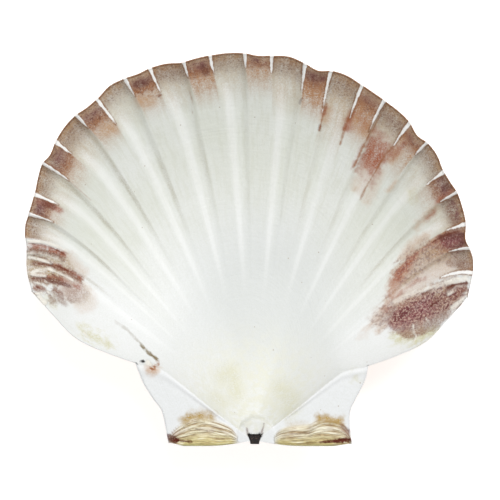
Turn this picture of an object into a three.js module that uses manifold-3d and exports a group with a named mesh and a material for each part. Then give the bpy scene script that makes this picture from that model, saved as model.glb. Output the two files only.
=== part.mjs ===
// One cupped valve of a scallop, lying on its domed outside with the hollow facing up, and the
// dried remnant of the ligament that once joined it to its other valve.
//
// Millimetres and degrees. +Z is up, +Y points from the hinge to the far margin, and +X is to the
// right with the hinge nearest. The valve grew outward from its umbo, in the middle of the hinge
// line, so a place on the disc is given by two numbers: out, from 0 at the umbo to 1 at the
// margin, and round, from -1 at the left flank of the fan to 1 at the right one.

import * as THREE from "three";
import { mergeVertices } from "three/addons/utils/BufferGeometryUtils.js";
import Module from "manifold-3d";

const wasm = await Module();
wasm.setup();

// Outline. The margin is a list of directions from the umbo, in degrees from +Y, with the
// distance to the margin there. The flanks are the fan's straight sides, as the share of the way
// out and the direction there. The ears' free edges run from the notch to the end of the hinge.
const FAN_HALF_ANGLE = 56;
const MARGIN = [
  [-56, 72.3], [-50, 80.4], [-40, 91.0], [-30, 98.8], [-16, 103.7], [-4, 104.3],
  [8, 102.6], [20, 98.0], [30, 92.6], [40, 85.6], [50, 76.6], [56, 69.6],
];
const FLANK = [[0, 54], [0.42, 51.8], [0.53, 56.8], [0.67, 59.6], [0.77, 60.0], [0.88, 58.0], [1, 56]];
const NOTCH_OUT = 0.53;
const LEFT_EAR = [[-29.9, 15.6], [-27.3, 11.4], [-25.0, 8.2], [-24.0, 4.2], [-23.1, -0.6]];
const RIGHT_EAR = [[29.9, 16.2], [27.4, 11.2], [26.0, 8.0], [25.9, 4.0], [26.4, -0.9]];
const HINGE_SAG = 1.5;
const HINGE_CREST_WIDTH = 6;
const FIRST_REACH = 70;

// Ribs. A rib outside is a channel inside. Their pitch is even over the middle of the fan, and
// they crowd together towards its two flanks.
const RIB_PITCH = 9.15;
const MIDDLE_RIB = -3.95;
const CROWD_LEFT = { ribs: 1.4, over: 6.5 };
const CROWD_RIGHT = { ribs: 0.5, over: 2.5 };
const LAST_RIB = 7;
const RIB_BEND = 0.6;
const CHANNEL_HALF_WIDTH = 0.28;
const CHANNEL_DEPTH = 1.5;
const OUTER_RIB_HEIGHT = 2.7;
const EDGE_RIDGE_HEIGHT = 0.55;
const SCALLOP = 0.5;

// Form. The hollow falls steeply from the hinge and rises gently to the margin.
const HOLLOW_DEPTH = 23.5;
const FALL_POWER = 0.86;
const RISE_POWER = 1.0;
const SIDE_POWER = 5;
const SIDE_ROUNDING = 0.75;
const EAR_DROP = 0.9;
const WALL = { umbo: 3.6, middle: 2.5, margin: 1.3, flank: 1.5 };
const STEEPEST_WALL = 2.4;
const EAR_WALL = 1.7;
const BEAK_DEPTH = 5.5;
const BEAK_WIDTH = 6.5;
const WORN_FLAT = 0.55;

// Hinge. The boss is a low half disc around the umbo, and the pit is cut into it from behind.
const BOSS = { x: 0.5, halfWidth: 5.7, reach: 6.5, drop: 0.45 };
const AREA = { middle: 14.5, halfLength: 9.5, reach: 6.6, rise: 0.5 };
const PIT = { x: 0.2, front: 1.9, back: -3, frontHalfWidth: 2.0, backHalfWidth: 0.8, depth: 1.9, above: 1 };
const LIGAMENT = { gap: 0.3, front: 1.6, back: -0.9, frontHalfWidth: 1.6, backHalfWidth: 1.1, thickness: 1.2 };

const VALVE_MATERIAL = new THREE.MeshStandardMaterial({ color: 0xe9ebe6, roughness: 0.42, metalness: 0 });
const LIGAMENT_MATERIAL = new THREE.MeshStandardMaterial({ color: 0x2a1710, roughness: 0.6, metalness: 0 });

const degrees = THREE.MathUtils.degToRad;
const smoothstep = THREE.MathUtils.smoothstep;
const lerp = THREE.MathUtils.lerp;

// A smooth curve through a list of [place, value] points, by cubic pieces that share slopes.
function curveThrough(points, place) {
  const last = points.length - 1;
  const clamped = Math.min(Math.max(place, points[0][0]), points[last][0]);
  let i = 0;
  while (i < last - 1 && clamped > points[i + 1][0]) i += 1;
  const slopeAt = (k) => {
    const before = points[Math.max(k - 1, 0)];
    const after = points[Math.min(k + 1, last)];
    return (after[1] - before[1]) / (after[0] - before[0]);
  };
  const [x0, y0] = points[i];
  const [x1, y1] = points[i + 1];
  const span = x1 - x0;
  const t = (clamped - x0) / span;
  const t2 = t * t;
  const t3 = t2 * t;
  return y0 * (2 * t3 - 3 * t2 + 1) + y1 * (3 * t2 - 2 * t3)
    + span * (slopeAt(i) * (t3 - 2 * t2 + t) + slopeAt(i + 1) * (t3 - t2));
}

// The rib number in a direction at the margin: whole on a rib, and a half between two ribs.
function ribNumber(direction) {
  const crowdLeft = CROWD_LEFT.ribs * Math.exp((-direction - FAN_HALF_ANGLE) / CROWD_LEFT.over);
  const crowdRight = CROWD_RIGHT.ribs * Math.exp((direction - FAN_HALF_ANGLE) / CROWD_RIGHT.over);
  return (direction - MIDDLE_RIB) / RIB_PITCH - crowdLeft + crowdRight;
}

function directionOfRib(number) {
  let low = -FAN_HALF_ANGLE;
  let high = FAN_HALF_ANGLE;
  for (let step = 0; step < 40; step += 1) {
    const middle = (low + high) / 2;
    if (ribNumber(middle) < number) low = middle;
    else high = middle;
  }
  return (low + high) / 2;
}

// How far a direction is from its nearest rib's middle, in ribs: 0 on a rib, 0.5 between two.
function fromRib(round) {
  const number = ribNumber(round * FAN_HALF_ANGLE);
  return Math.abs(number - Math.round(number));
}

// Ribs fade out on the smooth flanks.
function ribStrength(round) {
  return 1 - smoothstep(Math.abs(round), 0.93, 1);
}

// The meridians draw together towards the umbo, most of all in the middle of the fan.
function narrowing(out, round) {
  return 1 - RIB_BEND * (1 - out) * (1 - round ** 4);
}

// Growth starts as a round cap and takes on the outline's shape as it goes out.
function distanceOut(out, reach) {
  return out * lerp(FIRST_REACH, reach, smoothstep(out, 0.05, 0.4));
}

function discPoint(out, round) {
  const scallop = SCALLOP * Math.cos(2 * Math.PI * fromRib(round)) * ribStrength(round);
  const reach = curveThrough(MARGIN, round * FAN_HALF_ANGLE) + scallop * out ** 4;
  const direction = degrees(curveThrough(FLANK, out) * round * narrowing(out, round));
  const distance = distanceOut(out, reach);
  return new THREE.Vector2(distance * Math.sin(direction), distance * Math.cos(direction));
}

// The hollow without its ribs, as a height below the plane of the margin.
function hollow(out, round) {
  const deepest = FALL_POWER / (FALL_POWER + RISE_POWER);
  const fall = (share) => share ** FALL_POWER * (1 - share) ** RISE_POWER;
  const along = fall(out) / fall(deepest);
  const across = Math.max(1 - Math.abs(round) ** SIDE_POWER, 0) ** SIDE_ROUNDING;
  const besideEars = 1 - smoothstep(out, NOTCH_OUT - 0.08, NOTCH_OUT + 0.2);
  const atUmbo = 1 - smoothstep(out, 0, 0.1);
  const drop = EAR_DROP * (besideEars * smoothstep(Math.abs(round), 0.6, 1) + atUmbo);
  return -HOLLOW_DEPTH * along * across - drop;
}

// How much longer a steep wall is, measured straight down, than a level one.
function steepness(out, round) {
  const step = 0.01;
  const outer = Math.min(out + step, 1);
  const inner = Math.max(out - step, 0.001);
  const reach = curveThrough(MARGIN, round * FAN_HALF_ANGLE);
  const radial = (hollow(outer, round) - hollow(inner, round)) / ((outer - inner) * reach);
  const right = Math.min(round + step, 1);
  const left = Math.max(round - step, -1);
  const arc = discPoint(out, right).distanceTo(discPoint(out, left));
  const sideways = (hollow(out, right) - hollow(out, left)) / Math.max(arc, 0.05);
  const slope = Math.min(Math.hypot(1, radial, sideways), STEEPEST_WALL);
  return lerp(1, slope, smoothstep(1 - Math.abs(round), 0, 0.08));
}

function innerRelief(out, round) {
  const c = fromRib(round);
  const plateau = smoothstep(c, CHANNEL_HALF_WIDTH - 0.11, CHANNEL_HALF_WIDTH + 0.02);
  const wave = CHANNEL_DEPTH * (plateau - 0.5) * out ** 2.6 * smoothstep(out, 0.25, 0.6);
  const ridge = Math.exp(-(((c - CHANNEL_HALF_WIDTH) / 0.04) ** 2));
  return (wave + EDGE_RIDGE_HEIGHT * ridge * smoothstep(out, 0.88, 0.98)) * ribStrength(round);
}

function outerRelief(out, round) {
  const rib = 1 - smoothstep(fromRib(round), 0.16, 0.42);
  const size = out * narrowing(out, round) * smoothstep(out, 0.1, 0.3);
  return -OUTER_RIB_HEIGHT * (rib - 0.35) * size * ribStrength(round);
}

function bossShare(x, y) {
  const away = Math.hypot((x - BOSS.x) / BOSS.halfWidth, y / BOSS.reach);
  return 1 - smoothstep(away, 0.86, 1.04);
}

function discHeights(out, round) {
  const { x, y } = discPoint(out, round);
  const bowl = hollow(out, round);
  const inside = lerp(bowl + innerRelief(out, round), -BOSS.drop, bossShare(x, y));
  const centre = lerp(WALL.umbo, WALL.middle, smoothstep(out, 0, 0.4));
  const level = lerp(centre, WALL.margin, smoothstep(out, 0.45, 1));
  const wall = lerp(level, Math.min(level, WALL.flank), smoothstep(Math.abs(round), 0.85, 1));
  const beak = BEAK_DEPTH / 2 * Math.exp(-((x / BEAK_WIDTH) ** 2)) * (1 - smoothstep(out, 0, 0.06));
  return [inside, bowl - wall * steepness(out, round) - beak + outerRelief(out, round)];
}

// The hinge line bows a little back on both sides of the umbo.
function hingeEdge(x) {
  return -HINGE_SAG * (1 - Math.exp(-((x / HINGE_CREST_WIDTH) ** 2)));
}

// A place on an ear: out from the umbo to the free edge, and across from the disc to the hinge.
function earPoint(freeEdge, out, across, side) {
  const notch = discPoint(NOTCH_OUT, side);
  const junction = discPoint(out, side);
  const place = across * freeEdge.length;
  const k = Math.min(Math.floor(place), freeEdge.length - 1);
  const from = k === 0 ? notch : new THREE.Vector2(...freeEdge[k - 1]);
  const free = from.clone().lerp(new THREE.Vector2(...freeEdge[k]), place - k);
  const share = distanceOut(out, free.length() / NOTCH_OUT) / free.length();
  const point = free.multiplyScalar(share);
  const notchShare = distanceOut(out, notch.length() / NOTCH_OUT) / notch.length();
  point.addScaledVector(junction.sub(notch.multiplyScalar(notchShare)), 1 - across);
  const end = freeEdge[freeEdge.length - 1];
  const bow = hingeEdge(point.x) - share * end[1];
  point.y += bow * across ** 3 * (1 - smoothstep(share, 0.8, 1));
  return point;
}

function earHeights(point, out, across, side) {
  const fromMiddle = (Math.abs(point.x) - AREA.middle) / AREA.halfLength;
  const areaTop = AREA.reach * Math.max(1 - fromMiddle ** 2, 0);
  const area = AREA.rise * (1 - smoothstep(point.y, areaTop - 1.2, areaTop + 0.4));
  const lift = lerp(hollow(out, side), -EAR_DROP * 0.7, across);
  const inside = lerp(lift + area, -BOSS.drop, bossShare(point.x, point.y));
  const beak = BEAK_DEPTH * Math.exp(-((point.x / BEAK_WIDTH) ** 2)) * across;
  const wall = lerp(WALL.flank, EAR_WALL + 0.9, across) + beak;
  return [inside, lift - wall];
}

// The sheet is the valve seen from above: each vertex holds a place and two heights.
const vertices = [];
const faces = [];

function addVertex(point, heights) {
  vertices.push([point.x, point.y, heights[0], heights[1]]);
  return vertices.length - 1;
}

// Fills the strip between two rows of [place, vertex], which may differ in their number.
function stitch(inner, outer) {
  let i = 0;
  let j = 0;
  while (i < inner.length - 1 || j < outer.length - 1) {
    const nextInner = i < inner.length - 1 ? inner[i + 1][0] : Infinity;
    const nextOuter = j < outer.length - 1 ? outer[j + 1][0] : Infinity;
    if (nextInner < nextOuter) {
      faces.push([inner[i][1], outer[j][1], inner[i + 1][1]]);
      i += 1;
    } else {
      faces.push([inner[i][1], outer[j][1], outer[j + 1][1]]);
      j += 1;
    }
  }
}

// Where the columns stand across the fan: on the ribs, their flanks and edges, and between them.
function roundPlaces(offsets, gap) {
  const places = [-1];
  for (let rib = -LAST_RIB; rib <= LAST_RIB; rib += 1) {
    for (const offset of offsets) {
      const place = directionOfRib(rib + offset) / FAN_HALF_ANGLE;
      if (place - places[places.length - 1] > gap && place < 1 - gap) places.push(place);
    }
  }
  places.push(1);
  return places;
}

const FEW = roundPlaces([0], 0.05);
const SOME = roundPlaces([0, 0.5], 0.03);
const MANY = roundPlaces([-0.27, -0.14, 0, 0.14, 0.27, 0.5], 0.012);
const ROWS = [
  [0.03, FEW], [0.06, FEW], [0.078, FEW], [0.094, FEW], [0.12, SOME], [0.155, SOME],
  [0.2, SOME], [0.25, MANY], [0.31, MANY], [0.37, MANY], [0.42, MANY], [0.475, MANY],
  [NOTCH_OUT, MANY], [0.6, MANY], [0.67, MANY], [0.74, MANY], [0.81, MANY], [0.87, MANY],
  [0.92, MANY], [0.96, MANY], [1, MANY],
];
const EAR_COLUMNS = 10;

function buildSheet() {
  const umbo = addVertex(new THREE.Vector2(0, 0), [-BOSS.drop, -EAR_DROP - WALL.umbo - BEAK_DEPTH]);
  let disc = [[0, umbo]];
  let leftEar = [[0, umbo]];
  let rightEar = [[0, umbo]];
  for (const [out, places] of ROWS) {
    const row = places.map((round) => {
      return [round, addVertex(discPoint(out, round), discHeights(out, round))];
    });
    stitch(disc, row);
    disc = row;
    if (out > NOTCH_OUT) continue;
    const earRow = (freeEdge, side, shared) => {
      const cells = [[0, shared]];
      for (let k = 1; k <= EAR_COLUMNS; k += 1) {
        const across = k / EAR_COLUMNS;
        const point = earPoint(freeEdge, out, across, side);
        cells.push([across, addVertex(point, earHeights(point, out, across, side))]);
      }
      return cells;
    };
    const left = earRow(LEFT_EAR, -1, row[0][1]);
    const right = earRow(RIGHT_EAR, 1, row[row.length - 1][1]);
    const mirrored = (cells) => cells.map(([across, vertex]) => [-across, vertex]).reverse();
    stitch(mirrored(leftEar), mirrored(left));
    stitch(rightEar, right);
    leftEar = left;
    rightEar = right;
  }
}

// Two skins and a wall round the sheet's open edges make the closed valve. The lowest ribs are
// worn flat on the outside, where the valve rests.
function solidFromSheet() {
  const lowest = Math.min(...vertices.map((vertex) => vertex[3]));
  const floor = lowest + WORN_FLAT;
  const positions = [];
  for (const [x, y, top] of vertices) positions.push(x, y, top);
  for (const [x, y, , bottom] of vertices) positions.push(x, y, Math.max(bottom, floor));
  const count = vertices.length;
  const index = [];
  const seen = new Set();
  const edges = [];
  for (const [a, b, c] of faces) {
    index.push(a, c, b);
    index.push(a + count, b + count, c + count);
    for (const edge of [[a, b], [b, c], [c, a]]) {
      edges.push(edge);
      seen.add(edge.join());
    }
  }
  for (const [a, b] of edges) {
    if (!seen.has([b, a].join())) index.push(a, b, b + count, a, b + count, a + count);
  }
  const geometry = new THREE.BufferGeometry();
  geometry.setAttribute("position", new THREE.Float32BufferAttribute(positions, 3));
  geometry.setIndex(index);
  return { geometry, floor };
}

// A block with a trapezoid plan, narrow at the back, from its top height down.
function wedge({ front, back, frontHalfWidth, backHalfWidth, top, depth }) {
  const plan = new THREE.Shape([
    new THREE.Vector2(PIT.x - frontHalfWidth, front),
    new THREE.Vector2(PIT.x - backHalfWidth, back),
    new THREE.Vector2(PIT.x + backHalfWidth, back),
    new THREE.Vector2(PIT.x + frontHalfWidth, front),
  ]);
  const block = new THREE.ExtrudeGeometry(plan, { depth, bevelEnabled: false });
  return block.translate(0, 0, top - depth);
}

function toSolid(geometry) {
  const bare = geometry.clone();
  bare.deleteAttribute("normal");
  bare.deleteAttribute("uv");
  const merged = mergeVertices(bare);
  return new wasm.Manifold(new wasm.Mesh({
    numProp: 3,
    vertProperties: new Float32Array(merged.attributes.position.array),
    triVerts: new Uint32Array(merged.index.array),
  }));
}

function toGeometry(solid) {
  const mesh = solid.getMesh();
  const geometry = new THREE.BufferGeometry();
  geometry.setAttribute("position", new THREE.BufferAttribute(mesh.vertProperties, 3));
  geometry.setIndex(new THREE.BufferAttribute(mesh.triVerts, 1));
  return geometry;
}

buildSheet();
const { geometry: skin, floor } = solidFromSheet();
const pit = wedge({ ...PIT, top: PIT.above, depth: PIT.above + BOSS.drop + PIT.depth });
const valve = new THREE.Mesh(toGeometry(toSolid(skin).subtract(toSolid(pit))), VALVE_MATERIAL);
valve.name = "scallop_valve";

const ligamentTop = -BOSS.drop - PIT.depth + LIGAMENT.gap + LIGAMENT.thickness;
const ligament = new THREE.Mesh(
  wedge({ ...LIGAMENT, top: ligamentTop, depth: LIGAMENT.thickness }),
  LIGAMENT_MATERIAL,
);
ligament.name = "hinge_ligament";

// The group stands the valve on its worn flats, with the middle of its outline over the origin.
const shell = new THREE.Group();
shell.add(valve, ligament);
valve.geometry.computeBoundingBox();
const box = valve.geometry.boundingBox;
shell.position.set(-(box.min.x + box.max.x) / 2, -(box.min.y + box.max.y) / 2, -floor);

export default shell;
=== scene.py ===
# %% [markdown]
# # One valve of a scallop
# The object is one grown piece: a ribbed fan that is cupped like a shallow dish, with two ears
# beside a straight hinge. It lies on its domed outside, so that the smooth hollow side is seen.
# Its only other piece is the dark, dried remnant of the ligament in the pit of the hinge.
# Lengths in this file are millimetres from the umbo, the oldest point of the shell, unless a
# name says metres. +Y runs from the hinge to the far margin and +Z is up, out of the hollow.

# %% Load the fixed frame
import math

import bmesh
import bpy
import numpy as np
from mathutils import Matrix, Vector


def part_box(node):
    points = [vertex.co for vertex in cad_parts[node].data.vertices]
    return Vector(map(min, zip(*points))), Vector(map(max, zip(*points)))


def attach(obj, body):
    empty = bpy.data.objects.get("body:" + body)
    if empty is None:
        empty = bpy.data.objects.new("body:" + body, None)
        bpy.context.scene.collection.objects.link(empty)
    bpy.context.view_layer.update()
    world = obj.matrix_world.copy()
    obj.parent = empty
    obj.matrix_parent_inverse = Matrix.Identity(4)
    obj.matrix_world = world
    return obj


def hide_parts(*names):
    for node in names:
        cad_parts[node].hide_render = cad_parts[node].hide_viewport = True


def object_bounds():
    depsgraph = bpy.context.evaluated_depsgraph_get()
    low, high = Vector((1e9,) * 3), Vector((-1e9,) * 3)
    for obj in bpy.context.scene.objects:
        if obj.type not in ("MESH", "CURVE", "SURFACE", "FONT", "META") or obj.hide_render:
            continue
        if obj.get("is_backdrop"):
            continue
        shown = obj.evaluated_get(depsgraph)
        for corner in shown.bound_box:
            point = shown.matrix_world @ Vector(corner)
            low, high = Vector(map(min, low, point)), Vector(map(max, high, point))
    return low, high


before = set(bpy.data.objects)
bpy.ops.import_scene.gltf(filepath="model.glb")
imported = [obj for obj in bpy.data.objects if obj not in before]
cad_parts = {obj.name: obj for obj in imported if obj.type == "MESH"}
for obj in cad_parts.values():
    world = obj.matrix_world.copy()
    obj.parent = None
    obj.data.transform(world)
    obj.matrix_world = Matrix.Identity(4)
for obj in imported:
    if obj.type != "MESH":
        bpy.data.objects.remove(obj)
cad_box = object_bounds()
print("frame box", [[round(v, 4) for v in corner] for corner in cad_box])

# %% [markdown]
# The ligament remnant fills a known place in the hinge, so its box in the frame shows where the
# umbo is. The margin's plane is a known height above its top.

# %% Find the umbo in the frame
METRE = 0.001
REMNANT = {"x": 0.2, "front": 1.6, "top": -0.85}

remnant_low, remnant_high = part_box("hinge_ligament")
UMBO = Vector((
    (remnant_low.x + remnant_high.x) / 2 - REMNANT["x"] * METRE,
    remnant_high.y - REMNANT["front"] * METRE,
    remnant_high.z - REMNANT["top"] * METRE,
))
print("umbo in the frame, m", [round(v, 5) for v in UMBO])

# %% [markdown]
# A few small helpers carry the whole form: a soft step, a blend of two values, and a smooth curve
# through a short list of measured points. All of them work on whole arrays at once.

# %% Soft steps, blends and curves


def soft_step(x, low, high):
    t = np.clip((x - low) / (high - low), 0, 1)
    return t * t * (3 - 2 * t)


def blend(a, b, share):
    return a + (b - a) * share


def hump(x, middle, width):
    return np.exp(-(((x - middle) / width) ** 2))


def curve_through(points, place):
    xs, ys = np.array(points, float).T
    last = len(xs) - 1
    before = np.maximum(np.arange(last + 1) - 1, 0)
    after = np.minimum(np.arange(last + 1) + 1, last)
    slopes = (ys[after] - ys[before]) / (xs[after] - xs[before])
    place = np.clip(place, xs[0], xs[-1])
    i = np.clip(np.searchsorted(xs, place) - 1, 0, last - 1)
    span = xs[i + 1] - xs[i]
    t = (place - xs[i]) / span
    ends = ys[i] * (2 * t**3 - 3 * t**2 + 1) + ys[i + 1] * (3 * t**2 - 2 * t**3)
    return ends + span * (slopes[i] * (t**3 - 2 * t**2 + t) + slopes[i + 1] * (t**3 - t**2))


print("helpers ready, half way up a soft step is", float(soft_step(0.5, 0, 1)))

# %% [markdown]
# A scallop grows outward from its umbo, so a place on the disc is given by two numbers: out, from
# 0 at the umbo to 1 at the margin, and round, from -1 at the left flank to 1 at the right one.
# The outline follows from how far the margin lies in each direction and where the flanks run.
# MARGIN pairs degrees with millimetres, and FLANK pairs out with degrees.

# %% Outline of the disc
FAN_HALF_ANGLE = 56
MARGIN = [
    (-56, 72.3), (-50, 80.4), (-40, 91.0), (-30, 98.8), (-16, 103.7), (-4, 104.3),
    (8, 102.6), (20, 98.0), (30, 92.6), (40, 85.6), (50, 76.6), (56, 69.6),
]
FLANK = [(0, 54), (0.42, 51.8), (0.53, 56.8), (0.67, 59.6), (0.77, 60.0), (0.88, 58.0), (1, 56)]
NOTCH_OUT = 0.53
FIRST_REACH = 70
MERIDIAN_BEND = 0.6


def meridian_narrowing(out, round_):
    return 1 - MERIDIAN_BEND * (1 - out) * (1 - round_**4)


def distance_out(out, reach):
    return out * blend(FIRST_REACH, reach, soft_step(out, 0.05, 0.4))


def disc_place(out, round_, extra_reach=0):
    reach = curve_through(MARGIN, round_ * FAN_HALF_ANGLE) + extra_reach
    direction = np.radians(curve_through(FLANK, out) * round_ * meridian_narrowing(out, round_))
    distance = distance_out(out, reach)
    return distance * np.sin(direction), distance * np.cos(direction)


ahead = disc_place(np.array(1.0), np.array(0.0))
print("margin straight ahead at", [round(float(v), 1) for v in ahead])

# %% [markdown]
# The ribs are what makes it a scallop. Outside, a rib is a raised bar; inside, the same rib is a
# shallow channel with flat land on both sides. Their numbers run from -7 at the left to 7 at the
# right. Near the flanks the ribs crowd together, and they bend outward as they reach the margin.
# A few ribs right of the middle lean a little, as they do in the photograph.

# %% Where the ribs run
RIB_PITCH = 9.15
MIDDLE_RIB = -3.95
CROWD_LEFT = (1.4, 6.5)
CROWD_RIGHT = (0.5, 2.5)
RIB_DRAW = [(0, 0.70), (0.4, 0.81), (0.5, 0.845), (0.6, 0.875), (0.7, 0.893), (0.8, 0.915),
            (0.9, 0.947), (1, 1)]
LEAN = 0.8
LEAN_ROWS, LEAN_BEGINS, LEAN_ENDS = (0, 0.15), (-0.35, 0.1), (0.45, 0.8)
FLANK_FADE = (0.93, 1)
SOLVER_ROUNDS = 12


def rib_number(round_):
    direction = round_ * FAN_HALF_ANGLE
    left = CROWD_LEFT[0] * np.exp((-direction - FAN_HALF_ANGLE) / CROWD_LEFT[1])
    right = CROWD_RIGHT[0] * np.exp((direction - FAN_HALF_ANGLE) / CROWD_RIGHT[1])
    return (direction - MIDDLE_RIB) / RIB_PITCH - left + right


def rib_line(out, round_):
    """Where the rib line runs that reaches the margin at round_, found by Newton's method."""
    wanted = FAN_HALF_ANGLE * round_ * curve_through(RIB_DRAW, out)
    lean = soft_step(1 - out, *LEAN_ROWS) * soft_step(round_, *LEAN_BEGINS)
    wanted = wanted + LEAN * lean * (1 - soft_step(round_, *LEAN_ENDS))
    flank = curve_through(FLANK, out)
    bend = MERIDIAN_BEND * (1 - out)
    place = wanted / flank
    for _ in range(SOLVER_ROUNDS):
        error = flank * place * (1 - bend * (1 - place**4)) - wanted
        place = np.clip(place - error / (flank * (1 - bend * (1 - 5 * place**4))), -1, 1)
    return blend(place, np.sign(round_), soft_step(np.abs(round_), *FLANK_FADE))


def from_rib(number):
    """0 on a rib's middle and 0.5 between two ribs."""
    return np.abs(number - np.round(number))


def rib_strength(round_):
    return 1 - soft_step(np.abs(round_), *FLANK_FADE)


print("rib numbers at the flanks", [round(float(rib_number(r)), 2) for r in (-1.0, 1.0)])

# %% [markdown]
# The hollow falls steeply from the hinge and rises gently to the margin. Its depth is the product
# of a curve along the growth direction and one across the fan. The wall below it is thick at the
# umbo and thin at the margin, and grows where the hollow is steep, as a real wall would measured
# straight down.

# %% Form of the hollow and the wall
HOLLOW_DEPTH = 23.5
FALL_POWER = 0.86
DEEPEST_OUT = FALL_POWER / (FALL_POWER + 1)
SIDE_POWER = 5
SIDE_ROUNDING = 0.75
EAR_DROP, EAR_DROP_AT_HINGE = 0.9, 0.63
BESIDE_EARS = (NOTCH_OUT - 0.08, NOTCH_OUT + 0.2)
WALL_UMBO, WALL_MIDDLE, WALL_MARGIN, WALL_FLANK = 3.6, 2.5, 1.3, 1.5
STEEPEST_WALL = 2.4


def hollow(out, round_):
    along = out**FALL_POWER * (1 - out) / (DEEPEST_OUT**FALL_POWER * (1 - DEEPEST_OUT))
    across = np.maximum(1 - np.abs(round_) ** SIDE_POWER, 0) ** SIDE_ROUNDING
    beside_ears = 1 - soft_step(out, *BESIDE_EARS)
    at_umbo = 1 - soft_step(out, 0, 0.1)
    drop = EAR_DROP * (beside_ears * soft_step(np.abs(round_), 0.6, 1) + at_umbo)
    return -HOLLOW_DEPTH * along * across - drop


def steepness(out, round_):
    step = 0.01
    outer, inner = np.minimum(out + step, 1), np.maximum(out - step, 0.001)
    reach = curve_through(MARGIN, round_ * FAN_HALF_ANGLE)
    radial = (hollow(outer, round_) - hollow(inner, round_)) / ((outer - inner) * reach)
    right, left = np.minimum(round_ + step, 1), np.maximum(round_ - step, -1)
    right_x, right_y = disc_place(out, right)
    left_x, left_y = disc_place(out, left)
    arc = np.maximum(np.hypot(right_x - left_x, right_y - left_y), 0.05)
    sideways = (hollow(out, right) - hollow(out, left)) / arc
    slope = np.minimum(np.sqrt(1 + radial**2 + sideways**2), STEEPEST_WALL)
    return blend(1, slope, soft_step(1 - np.abs(round_), 0, 0.08))


print("deepest point below the margin, mm", round(float(hollow(DEEPEST_OUT, 0.0)), 1))

# %% [markdown]
# Inside, each channel sinks a little below the land beside it. At the margin the land's bank is
# short and steep, further in it is long and soft, above all on the side away from the middle of
# the fan, and the whole wave fades towards the umbo. Near the margin each land has a narrow white
# keel along both edges. Outside, the ribs stand up as rounded bars, each with a few fine riblets,
# and the space between them has some too.

# %% Relief of the ribs, inside and outside
CHANNEL_HALF_WIDTH = 0.28
CHANNEL_DEPTH = 1.5
LIT_BANK = (0.01, 0.23)
SHADED_BANK = (0.12, 0.25)
BANK_AT_MARGIN = (0.19, 0.30)
SIDES_PART = 1.4
WEAK_LEFT_RIBS = {"from": 5.3, "to": 5.8, "less": 0.7}
KEEL_HEIGHT, KEEL_SHARPNESS = 0.5, 0.035
OUTER_RIB_HEIGHT, OUTER_RIB_SIDE, OUTER_RIB_SUNK = 2.7, (0.16, 0.42), 0.35
RIBLETS_PER_RIB = 7
RIBLET_HEIGHT = 0.16


def towards_flank(number):
    """How far past its rib's middle a place lies, counted towards the flank on its side."""
    return (number - np.round(number)) * np.where(number > SIDES_PART, 1, -1)


def inner_relief(out, round_):
    number = rib_number(round_)
    c = from_rib(number)
    at_margin = soft_step(out, 0.82, 0.97)
    foot, crest = (
        blend(np.where(towards_flank(number) > 0, lit, shaded), last, at_margin)
        for lit, shaded, last in zip(LIT_BANK, SHADED_BANK, BANK_AT_MARGIN)
    )
    wave = CHANNEL_DEPTH * (soft_step(c, foot, crest) - 0.5) * out * soft_step(out, 0.36, 0.8)
    weak = soft_step(-number, WEAK_LEFT_RIBS["from"], WEAK_LEFT_RIBS["to"])
    wave = wave * (1 - WEAK_LEFT_RIBS["less"] * weak)
    keel = KEEL_HEIGHT * hump(c, CHANNEL_HALF_WIDTH, KEEL_SHARPNESS) * soft_step(out, 0.88, 0.98)
    return (wave + keel) * rib_strength(round_)


def outer_relief(out, round_, column):
    number = rib_number(column)
    rib = 1 - soft_step(from_rib(number), *OUTER_RIB_SIDE)
    size = out * meridian_narrowing(out, round_) * soft_step(out, 0.1, 0.3)
    riblets = RIBLET_HEIGHT * np.cos(2 * np.pi * RIBLETS_PER_RIB * number) * size
    return -(OUTER_RIB_HEIGHT * (rib - OUTER_RIB_SUNK) * size + riblets) * rib_strength(column)


print("a channel is this much lower than its lands, mm", CHANNEL_DEPTH)

# %% [markdown]
# The hinge side has three forms. A low half disc, the boss, stands around the umbo. The pit for
# the ligament is cut into its back. On each ear a lens shaped area, where the outer ligament was
# once fixed, lies along the hinge line. The hinge line itself sags a little to both sides.

# %% Hinge: boss, pit, areas and its bowed line
BOSS = {"x": 0.5, "half_width": 5.7, "reach": 6.5, "drop": 0.45,
        "rim": (0.9, 1.02)}
PIT = {"x": 0.2, "front": 1.75, "half_width": 1.25, "widening": 0.38, "depth": 1.9,
       "soft": 0.12}
HINGE_SAG = 1.5
HINGE_CREST = 6
LEFT_AREA = [(-23.4, 0.2), (-22.0, 2.4), (-19.9, 4.3), (-16.9, 6.2), (-14.3, 6.7), (-10.2, 5.6),
             (-6.5, 4.0), (-4.3, 1.6)]
RIGHT_AREA = [(5.4, 1.6), (7.0, 3.2), (10.2, 4.2), (14.8, 4.7), (18.0, 6.0), (22.3, 5.6),
              (25.0, 3.8), (26.4, 0.3)]
AREA_RISE, AREA_EDGE, AREA_ENDS, AREA_BY_BOSS = 0.5, (-0.9, 0.3), (0.2, 1.5), (-1.8, 1)


def hinge_line(x):
    return -HINGE_SAG * (1 - np.exp(-((x / HINGE_CREST) ** 2)))


def boss_share(x, y):
    away = np.hypot((x - BOSS["x"]) / BOSS["half_width"], y / BOSS["reach"])
    return 1 - soft_step(away, *BOSS["rim"])


def pit_share(x, y):
    half_width = PIT["half_width"] + PIT["widening"] * y
    beside = soft_step(half_width - np.abs(x - PIT["x"]), -PIT["soft"], PIT["soft"])
    return beside * (1 - soft_step(y - PIT["front"], -PIT["soft"], PIT["soft"]))


def area_height(x):
    return sum(curve_through(area, x) * (x > area[0][0]) * (x < area[-1][0])
               for area in (LEFT_AREA, RIGHT_AREA))


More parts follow.
